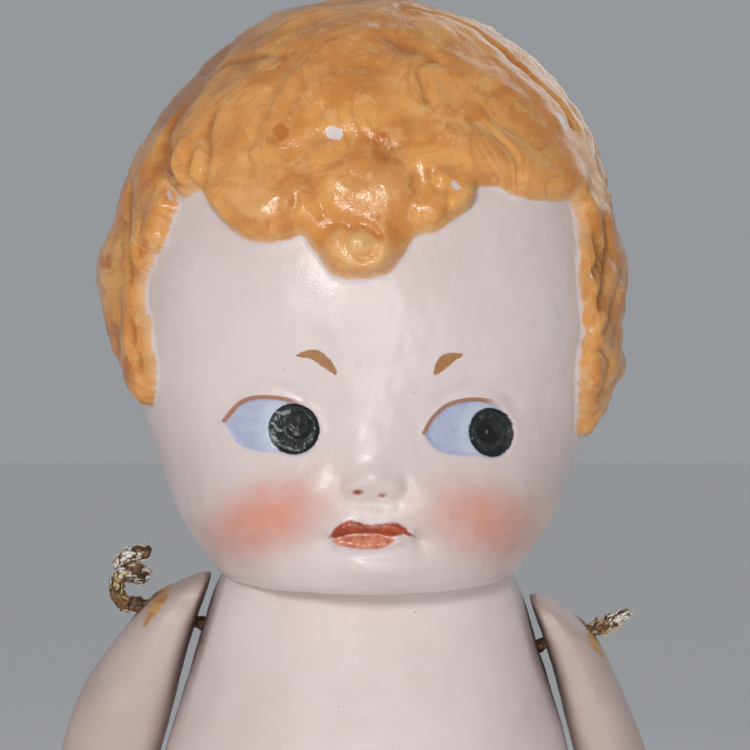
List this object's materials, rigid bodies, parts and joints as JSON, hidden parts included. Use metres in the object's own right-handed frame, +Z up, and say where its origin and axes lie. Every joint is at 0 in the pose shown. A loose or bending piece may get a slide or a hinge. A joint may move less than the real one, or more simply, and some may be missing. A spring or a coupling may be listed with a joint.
{
  "type": "jointed porcelain doll",
  "caption": "Small all-bisque doll with a one-piece head and torso, moulded painted hair, and wire-strung arms and legs that swing.",
  "frame": {"origin": "on the floor, at the middle of the standing doll's outline seen from above", "axes": "+Z up, from the soles to the crown; the doll faces -Y, so its left side is at +X"},
  "size_m": [0.0511, 0.0421, 0.14],
  "materials": {
    "bisque": "satin",
    "rusty_wire": "matte"
  },
  "bodies": {
    "torso": {"head_and_torso": "bisque", "shoulder_wire": "rusty_wire", "hip_wire": "rusty_wire"},
    "left_arm": {"left_arm": "bisque"},
    "right_arm": {"right_arm": "bisque"},
    "left_leg": {"left_leg": "bisque"},
    "right_leg": {"right_leg": "bisque"}
  },
  "joints": [
    {"name": "left_shoulder", "type": "hinge", "parent": "torso", "child": "left_arm", "pos_m": [0.01305, 0, 0.0903], "axis": [-0.9584, 0, -0.2856], "range_deg": [-110, 115]},
    {"name": "right_shoulder", "type": "hinge", "parent": "torso", "child": "right_arm", "pos_m": [-0.01255, 0, 0.092], "axis": [-0.9584, 0, 0.2856], "range_deg": [-75, 105]},
    {"name": "left_hip", "type": "hinge", "parent": "torso", "child": "left_leg", "pos_m": [0.011, 0, 0.047], "axis": [-1, 0, 0], "range_deg": [-30, 90]},
    {"name": "right_hip", "type": "hinge", "parent": "torso", "child": "right_leg", "pos_m": [-0.011, 0, 0.047], "axis": [-1, 0, 0], "range_deg": [-30, 90]}
  ]
}
